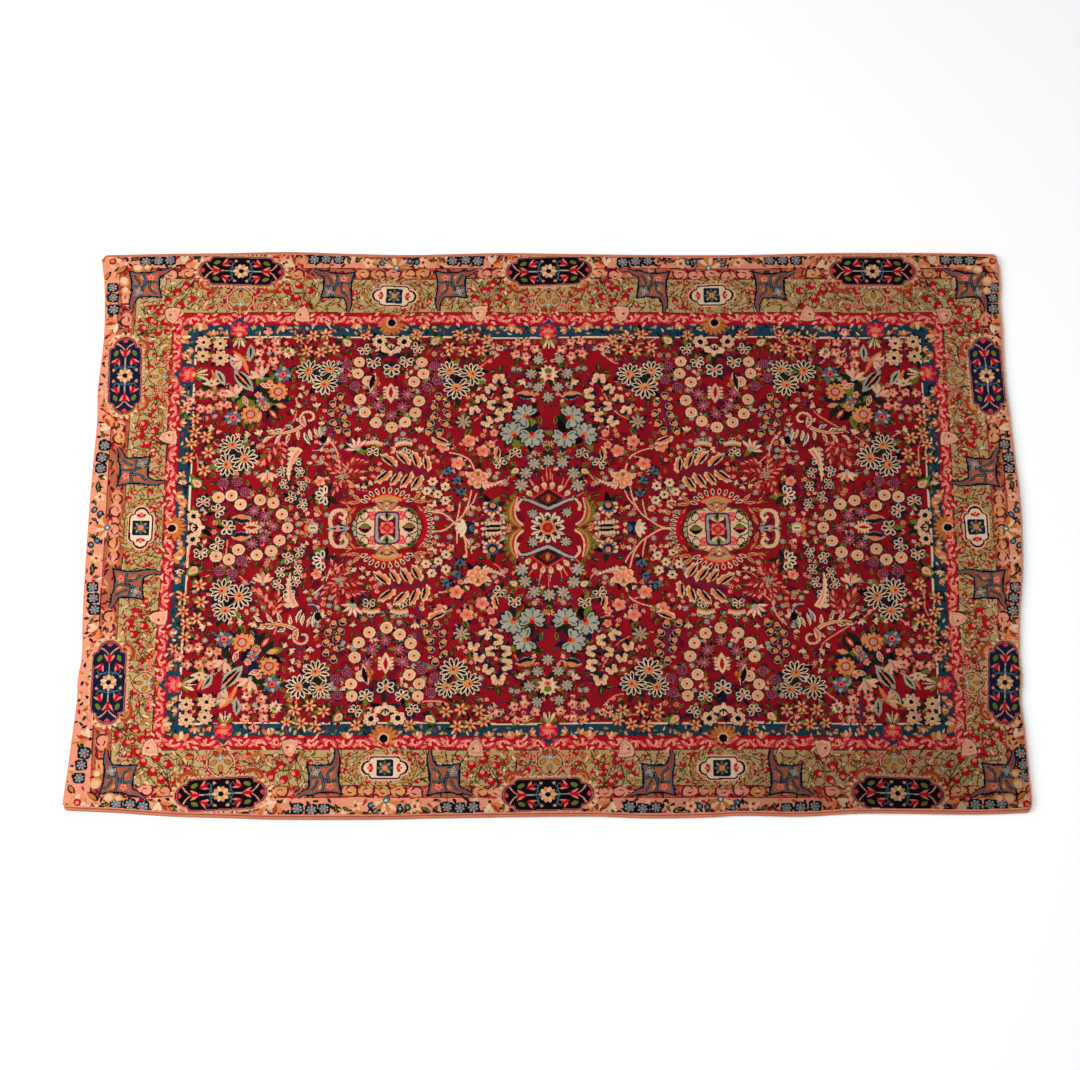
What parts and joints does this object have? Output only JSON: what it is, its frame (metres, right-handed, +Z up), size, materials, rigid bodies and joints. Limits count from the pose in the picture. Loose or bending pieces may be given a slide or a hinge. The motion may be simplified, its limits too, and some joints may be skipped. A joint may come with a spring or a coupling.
{
  "type": "persian rug",
  "caption": "Flat knotted wool rug with a floral field, layered borders, overcast long sides and short worn warp ends on one end.",
  "frame": {"origin": "middle of the rug's outer box, on the surface that it lies on", "axes": "+X along the rug's length, +Y across its width, +Z up out of the pile"},
  "size_m": [2.1028, 1.3944, 0.009],
  "materials": {
    "pile_wool": "matt knotted wool pile, crimson with cream, green, ochre, salmon and blue",
    "selvedge_wool": "matt salmon wool overcasting",
    "warp_cotton": "matt undyed cotton, worn"
  },
  "bodies": {
    "root": {"knotted_rug": "pile_wool", "selvedge_near": "selvedge_wool", "selvedge_far": "selvedge_wool", "warp_ends": "warp_cotton"}
  },
  "joints": []
}
